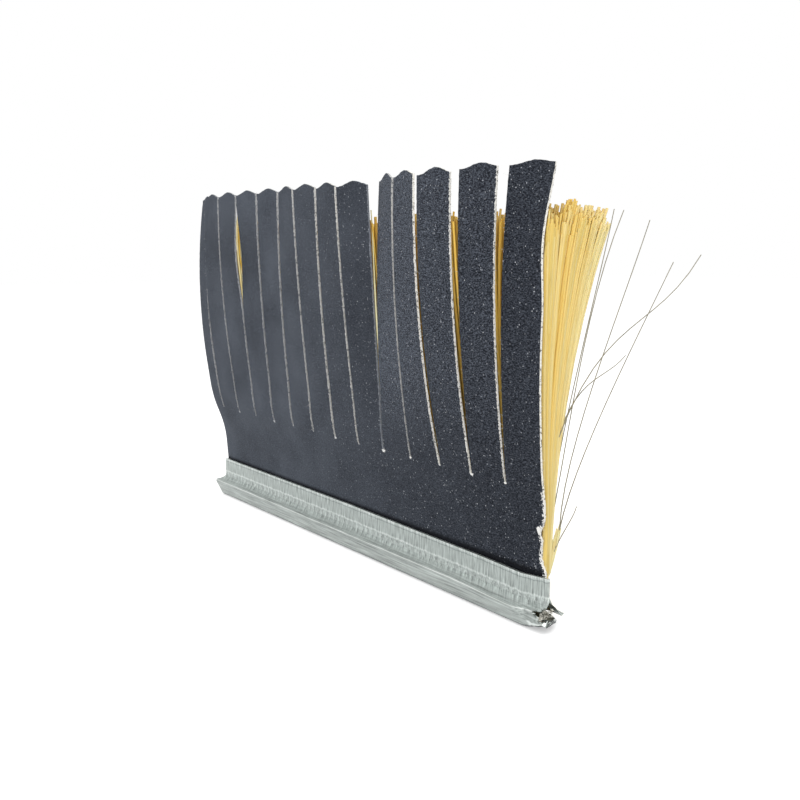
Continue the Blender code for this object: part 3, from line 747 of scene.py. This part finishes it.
def flap_shape(name, ends):
    """Middle surface of a flap, running smoothly out of the band, as points (offset in x, height)."""
    middle, width = sum(ends) / 2, ends[1] - ends[0]
    fitted = fit_surface(cad_points(name), middle, width, slit_z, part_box(name)[1].z)
    step = 0.05 * MM

    def shape(offset, height):
        x, z = middle + offset, slit_z + height
        root = np.full_like(x, slit_z)
        gap = band_y(x, root) - fitted(x, root)
        kink = (band_y(x, root) - band_y(x, root - step) - fitted(x, root + step) + fitted(x, root)) / step
        near_root = np.clip(1.0 - height / ROOT_EASE, 0.0, 1.0)
        smoothing = (gap + (kink + 2.0 * gap / ROOT_EASE) * height) * near_root ** 2
        centre = fitted(np.full_like(x, middle), z)
        turn = np.arctan((fitted(np.full_like(x, middle + width / 2), z) - centre) / (width / 2))
        return np.stack([middle + offset * np.cos(turn), centre + offset * np.sin(turn) + smoothing, z], axis=-1)

    return shape


free_shapes = [flap_shape(name, ends) for name, ends in zip(flap_names, flap_ends)]
half_widths = [(ends[1] - ends[0]) / 2 for ends in flap_ends]


def closing(slit, height):
    """How far back the edge left of a closed slit moves, and forward the one on its right, to lie level."""
    if slit not in CLOSED_STEPS:
        return np.zeros_like(height)
    right_edge = free_shapes[slit - 1](np.full_like(height, half_widths[slit - 1]), height)[..., 1]
    left_edge = free_shapes[slit](np.full_like(height, -half_widths[slit]), height)[..., 1]
    gape = np.clip((height - GAPE_HEIGHTS[0]) / (GAPE_HEIGHTS[1] - GAPE_HEIGHTS[0]), 0.0, 1.0)
    opening = GAPE_DEPTH * np.sin(math.pi * gape) ** 2 if slit == GAPING_SLIT else 0.0
    step = CLOSED_STEPS[slit] * MM * ease(height / CLOSED_RISE)
    return (left_edge - right_edge - step - opening) / 2


def levelled_shape(number):
    """A flap's middle surface with its edges level with its neighbours' at the closed slits."""
    def shape(offset, height):
        points = free_shapes[number - 1](offset, height)
        share = offset / (2 * half_widths[number - 1]) + 0.5
        points[..., 1] += share * closing(number, height) - (1.0 - share) * closing(number - 1, height)
        if number == len(flap_names):
            cup = np.clip((height - CUP_HEIGHTS[0]) / (CUP_HEIGHTS[1] - CUP_HEIGHTS[0]), 0.0, 1.0)
            points[..., 1] -= CUPPED_EDGE * np.clip(share, 0.0, 1.0) ** 3 * np.sin(math.pi * cup) ** 2
        return points

    return shape


flap_shapes = [levelled_shape(number) for number in range(1, len(flap_names) + 1)]
for number, (name, ends, shape) in enumerate(zip(flap_names, flap_ends, flap_shapes), start=1):
    width = ends[1] - ends[0]
    trim, wave_depth = TIP_TRIMS[number - 1], WAVE_DEPTHS[number - 1] * MM
    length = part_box(name)[1].z - slit_z + trim * MM
    rows = round(length / FLAP_ROW)
    across, up = np.meshgrid(np.linspace(0.0, 1.0, FLAP_COLUMNS + 1), np.linspace(0.0, 1.0, rows + 1))
    phase = (across - WAVE_PEAK + 0.5) % 1.0 - 0.5
    pointed = 0.8 * np.abs(phase) if number < ROUNDED_FROM else 0.0
    wave = 0.3 - 0.3 * np.cos(math.tau * phase) + pointed
    rough = np.array([[noise.noise((a * 12.0, number * 5.0, 0.0)) for a in line] for line in across])
    height = up * (length - wave_depth * wave + RAGGED_EDGE * rough)
    waver = np.array([
        [noise.noise((h / (0.6 * MM), number * 7.0, 9.0 * round(a))) for a, h in zip(*line)]
        for line in zip(across, height)
    ])
    inward = np.abs(2.0 * across - 1.0) ** 8 * np.clip(height / MM, 0.0, 1.0)
    offset = (across - 0.5) * width - np.sign(across - 0.5) * RAGGED_EDGE * inward * (0.6 + waver)
    right_gap = (1.0 - across) * width + (SHARP_GAP if number == len(flap_names) else 0.0)
    left_gap = across * width + (SHARP_GAP if number >= SHARP_EDGED else CHIPPED_GAP)
    distance = np.minimum(np.minimum(left_gap, right_gap), (1.0 - up) * length + 0.2 * MM)
    dust = FLAP_PAINTED_LIGHT.get(number, 0.0) * ease(height / PAINTED_LIGHT_RISE)
    soil = np.clip(left_soil(sum(ends) / 2 + offset) + FLAP_SOIL.get(number, 0.0), 0.0, 1.0)
    flap = lay_cloth(f"cloth_flap_{number:02d}", shape(offset, height), distance, dust, soil)
    give_gauge(flap)

    lift = chance.random(LOOSE_ENDS) ** 1.3 * (length - wave_depth)
    turned = np.where(chance.random(LOOSE_ENDS) < 0.75, 1.0, -1.0)
    fray(flap, shape(turned * (width / 2 - 0.1 * MM), lift), turned, np.full(LOOSE_ENDS, soil.mean()))
    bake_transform(flap)
    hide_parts(name)
bpy.data.objects.remove(loose_end)

# Bristles: the free ends of the folded fibre, stiff and straight, fanning out backwards behind the
# cloth in loose clumps, with a ragged cut. Each strand is drawn coarser than real, 0.4 to 0.8 mm for
# fibres of 0.2 to 0.4 mm. A tuft's density, skew to the right, spread and unevenness (mm) go together.
BRISTLE_STEPS = 8
BRISTLES_PER_MM = 20
TUFT = (1.0, 0.8, 0.06, 0.4)
END_TUFT = (5.0, 0.3, 0.07, 0.85)
STRAND_RADII = (0.2, 0.4)
CLUMPS_PER_MM = 4.0
BRISTLE_TOP = 53.3 * MM
RAGGED_TOP = 0.9 * MM
TALL_TUFT = "tuft_03"
TALL_REACH = 2.3 * MM
FAN_REACH = 9.2 * MM
FAN_BEND = 2.3
FRONT_GAP = 0.35 * MM
FANNED_DROP = 1.2 * MM
FRONT_DROP = 1.5 * MM
SEEN_ACROSS, SEEN_FAN = 0.7, 0.5
ROOT_Z = channel_top - 0.9 * MM
END_SHORTFALL = 1.8 * MM
BROKEN_COUNT = 20
BROKEN_FOOT = (47.8, 0.2, 6.9)
BROKEN_TIP = (48.5, 1.8, 13.5)
SIDE_GAP = 0.08 * MM
bed_front, bed_rear = wire_y - 0.4 * MM, wire_y + 0.3 * MM
bristle = model_strand("bristle", 5, BRISTLE_STEPS, 0.6)
tuft_names = sorted(name for name in frame["nodes"] if name.startswith("tuft_"))


def cloth_back(shape, ends, x, z):
    """Rear face of the cloth, band or flap, at a place along the strip and a height."""
    offset = np.clip(x, *ends) - sum(ends) / 2
    on_flap = shape(offset, np.maximum(z - slit_z, 0.0))[..., 1]
    return np.where(z > slit_z, on_flap, band_y(x, z)) + CLOTH_GAUGE / 2


def fan_paths(ends, shape, tip_x, root_x, top, fan, sway):
    """Paths of bristles between the back of the cloth (fan 0) and the rear of the fan (fan 1)."""
    share = np.linspace(0.0, 1.0, BRISTLE_STEPS + 1)
    foot = ROOT_Z + (channel_top - ROOT_Z) * np.clip((root_x - right_x + 3.2 * MM) / MM, 0.0, 1.0)
    z = foot[:, None] + (top - foot)[:, None] * share
    bulge = sway[:, None] * np.sin(math.pi * share)
    x = root_x[:, None] + (tip_x - root_x)[:, None] * share + bulge
    x = np.clip(x, ends[0] + SIDE_GAP, ends[1] - SIDE_GAP)
    free = np.clip((z - channel_top) / (BRISTLE_TOP - channel_top), 0.0, None)
    back = cloth_back(shape, ends, x, z)
    leaning = bed_front + (back + FRONT_GAP - bed_front) * np.sqrt(free)
    front = np.maximum(leaning, back + FRONT_GAP * ease(free / 0.05))
    rear = bed_rear + (FAN_REACH - bed_rear) * free ** FAN_BEND
    return np.stack([x, front + (rear - front) * fan[:, None] + bulge * fan[:, None], z], axis=-1)


for name, ends, shape in zip(tuft_names, flap_ends, flap_shapes):
    last = name == tuft_names[-1]
    width = ends[1] - ends[0]
    density, skew, spread, uneven = END_TUFT if last else TUFT
    count = round(width / MM * BRISTLES_PER_MM * density)
    clumps = max(4, round(width / MM * CLUMPS_PER_MM))
    clump = chance.integers(0, clumps, count)
    clump_fan = (np.arange(clumps) * GOLDEN_RATIO + chance.uniform(-0.1, 0.1, clumps)) % 1.0
    fan = np.clip(clump_fan[clump] + chance.normal(0.0, spread, count), 0.0, 1.0)
    clump_across = (chance.permutation(clumps) + chance.random(clumps)) / clumps
    across = clump_across[clump] + chance.normal(0.0, spread, count)
    across = np.clip(across, 0.0, 1.0) ** skew
    tip_x = ends[0] + SIDE_GAP + (width - 2 * SIDE_GAP) * across
    root_x = np.clip(tip_x + chance.normal(0.0, 0.5 * MM, count), ends[0] + SIDE_GAP, ends[1] - SIDE_GAP)
    root_x -= np.clip((root_x - right_x + 4.0 * MM) / (4.0 * MM), 0.0, 1.0) ** 2 * END_SHORTFALL
    top = BRISTLE_TOP + chance.normal(0.0, uneven * MM, clumps)[clump]
    top += chance.uniform(-1.0, 1.0, count) * RAGGED_TOP
    top += TALL_REACH * across * (name == TALL_TUFT) - FANNED_DROP * fan ** 2
    top -= FRONT_DROP * ease((0.35 - fan) / 0.3) * last
    paths = fan_paths(ends, shape, tip_x, root_x, top, fan, chance.normal(0.0, 0.1 * MM, count))
    radii = chance.uniform(*STRAND_RADII, count) * MM
    tuft = bend_copies(name.replace("tuft", "bristles"), bristle, paths, radii, (1, 0, 0))
    # The 0.3 share of fan is painted light: paler towards the rear of the fan, and the strands next to the cloth
    # painted deeper as in shade. The clump and fibre terms are their own tone.
    tone = 0.4 * chance.random(clumps)[clump] + 0.1 * chance.random(count) + 0.3 * fan - 0.05
    tone = np.clip(tone, PAINTED_SLIT_LIGHT_BELOW, 1.0)
    # Painted light: the strands seen in the slits get tone 0, which the material paints a brighter, yellower gold.
    tone[(across > SEEN_ACROSS) & (fan < SEEN_FAN) & (not last)] = 0.0
    store(tuft, "shade", np.repeat(tone, len(bristle.data.vertices)))
    tuft.data.materials.append(straw)
    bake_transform(tuft)
    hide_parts(name)

# Broken bristles: a short bunch snapped off at the right-hand end, and a few pale fibres that lean
# out of line behind the third, the ninth and the last flap. They are of the same plant fibre.
LEANING = (
    ("leaning_bristle_03", 3, 0.22,
     (-31.9, -2.8, 26.0), (-31.9, -4.6, 37.0), (-31.8, -5.2, 47.0), (-31.8, -5.2, 56.4)),
    ("split_bristle_03", 3, 0.26,
     (-31.8, -3.3, 26.0), (-31.8, -4.5, 37.0), (-31.7, -5.7, 47.0), (-31.7, -5.6, 56.4)),
    ("leaning_bristle_09", 9, 0.16,
     (13.0, -2.6, 28.0), (13.0, -3.6, 38.8), (12.7, -3.9, 47.8), (12.2, -4.0, 55.2)),
    ("leaning_bristle_14", 14, 0.07,
     (49.3, -2.6, 41.9), (49.3, -1.9, 42.9), (49.3, -0.9, 44.3), (49.3, 0.8, 46.5)),
)


def through(places, steps):
    """A smooth path through four places given in millimetres."""
    knots = np.vander(np.array([0.0, 0.3, 0.6, 1.0]))
    basis = np.vander(np.linspace(0.0, 1.0, steps + 1), 4) @ np.linalg.inv(knots)
    return basis @ np.array(places) * MM


loose_sets = [(name, number, np.array([radius * MM]), through(places, BRISTLE_STEPS)[None])
              for name, number, radius, *places in LEANING]
share = np.linspace(0.0, 1.0, BRISTLE_STEPS + 1)[:, None]
feet = np.array(BROKEN_FOOT) * MM + chance.normal(0.0, (0.2 * MM, 0.2 * MM, 0.1 * MM), (BROKEN_COUNT, 3))
tips = np.array(BROKEN_TIP) * MM + chance.normal(0.0, (0.15 * MM, 0.28 * MM, 0.3 * MM), (BROKEN_COUNT, 3))
tips = feet + (tips - feet) * chance.uniform(0.6, 1.05, (BROKEN_COUNT, 1))
bent_out = np.sin(math.pi * share) * np.array([0.0, 0.25 * MM, 0.0])
broken_paths = feet[:, None] + (tips - feet)[:, None] * share + bent_out
loose_sets.append(("broken_bristles", 14, np.full(BROKEN_COUNT, 0.16 * MM), broken_paths))
for label, number, radii, paths in loose_sets:
    loose = bend_copies(label, bristle, paths, radii, (1, 0, 0))
    # Loose fibres get pale tones: partly their own colour, and partly painted light on those that lie in shade
    # behind the flaps.
    store(loose, "shade", np.repeat(chance.uniform(0.6, 1.0, len(paths)), len(bristle.data.vertices)))
    loose.data.materials.append(straw)
    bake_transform(loose)
bpy.data.objects.remove(bristle)

# Stray fibres: thin hairs at the right-hand end that have worked loose from the fan. They are dull
# and grey, 0.16 mm thick, and run down into the broken bunch.
STRAY_WIDTH = 0.16 * MM
STRAY_STEPS = 12
STRAY_PLACES = [
    ((48.1, 0.7, 13.6), (49.0, 1.6, 23.8), (49.7, 4.8, 38.0), (50.4, 8.7, 54.1)),
    ((48.2, 0.8, 13.6), (49.3, 2.2, 24.4), (50.2, 4.3, 37.2), (52.0, 8.8, 53.9)),
    ((48.6, 2.0, 13.0), (49.6, 3.4, 23.9), (50.9, 7.1, 36.3), (53.0, 12.4, 52.7)),
    ((48.6, 2.0, 13.0), (50.2, 4.2, 22.3), (52.0, 8.6, 33.1), (55.0, 14.7, 47.4)),
    ((49.0, 1.1, 25.0), (52.0, 5.4, 35.4), (55.5, 9.2, 40.6), (60.0, 14.1, 48.3)),
    ((48.1, 0.9, 8.8), (48.8, 1.8, 11.7), (49.5, 2.7, 13.9), (50.0, 3.6, 16.2)),
    ((49.0, 1.6, 26.2), (50.0, 3.8, 30.8), (51.5, 5.8, 33.1), (53.0, 8.7, 35.7)),
]
stray = model_strand("stray", 5, STRAY_STEPS, 0.7)
stray_paths = np.array([through(places, STRAY_STEPS) for places in STRAY_PLACES])
strays = bend_copies("stray_fibres", stray, stray_paths, np.full(len(STRAY_PLACES), STRAY_WIDTH / 2), (1, 0, 0))
bpy.data.objects.remove(stray)
hair, tree = new_material("weathered_fibre")
place = add_node(tree, "TexCoord", out="Object")
mottle = add_node(tree, "TexNoise", {"Vector": place, "Scale": 1 / (2 * MM), "Detail": 2.0}, out="Fac")
hair_colour = add_node(tree, "Mix", {0: mottle, 6: "#6f6b5c", 7: "#a39c85"}, data_type="RGBA", out=2)
dull = add_node(tree, "BsdfPrincipled", {"Base Color": hair_colour, "Roughness": 0.6})
add_node(tree, "OutputMaterial", {"Surface": dull})
strays.data.materials.append(hair)
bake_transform(strays)

# Studio: a white floor and a white surround, with one large soft lamp overhead.
# For the camera and for reflections both are plain white, and the floor keeps the shadow.
SURROUND_LEVEL = 0.75
LAMP_POWER = 3.0
LAMP_SIZE = 0.6
LAMP_PLACE = (0.35, -0.28, 0.6)
FLOOR_LIFT = 0.42
world = bpy.data.worlds.new("white_surround")
bpy.context.scene.world = world
world.use_nodes = True
paper, tree = new_material("white_paper")


def seen_directly(tree):
    """A factor that is 1 for camera rays and reflections, and 0 for light that falls on the object."""
    rays = add_node(tree, "LightPath").node.outputs
    seen = add_node(tree, "Math", {0: rays["Is Camera Ray"], 1: rays["Is Glossy Ray"]}, operation="MAXIMUM")
    return add_node(tree, "Math", {0: seen, 1: rays["Is Transmission Ray"]}, operation="MAXIMUM")


world.node_tree.nodes.clear()
level = add_node(world.node_tree, "MapRange", {"Value": seen_directly(world.node_tree), "To Min": SURROUND_LEVEL})
sky = add_node(world.node_tree, "Background", {"Color": "#ffffff", "Strength": level})
add_node(world.node_tree, "OutputWorld", {"Surface": sky})
lift = add_node(tree, "Math", {0: seen_directly(tree), 1: FLOOR_LIFT}, operation="MULTIPLY")
white = add_node(tree, "BsdfPrincipled", {
    "Base Color": "#f0f0f0", "Roughness": 1.0, "Specular IOR Level": 0.0,
    "Emission Color": "#ffffff", "Emission Strength": lift,
})
add_node(tree, "OutputMaterial", {"Surface": white})
bpy.ops.object.select_all(action="DESELECT")
bpy.ops.mesh.primitive_plane_add(size=4.0, location=(0.0, 0.0, -0.03 * MM))
floor = bpy.context.object
floor.name = "floor"
floor.data.materials.append(paper)

lamp_data = bpy.data.lights.new("overhead_softbox", "AREA")
lamp_data.energy = LAMP_POWER
lamp_data.size = LAMP_SIZE
lamp = bpy.data.objects.new("overhead_softbox", lamp_data)
lamp.location = LAMP_PLACE
lamp.rotation_euler = (Vector((0.0, 0.0, 0.03)) - lamp.location).to_track_quat("-Z", "Y").to_euler()
bpy.context.collection.objects.link(lamp)

# Camera: in front of the right-hand end, just below the flaps' tips, turned along the strip.
camera_data = bpy.data.cameras.new("camera")
camera_data.lens = 48.0
camera_data.sensor_width = 36.0
camera_data.clip_start = 0.005
camera = bpy.data.objects.new("camera", camera_data)
camera.location = (150.5 * MM, -88.63 * MM, 47.87 * MM)
camera.rotation_euler = (math.radians(82.488), math.radians(0.209), math.radians(57.01))
bpy.context.collection.objects.link(camera)
bpy.context.scene.camera = camera
bpy.context.scene.view_settings.view_transform = "Standard"
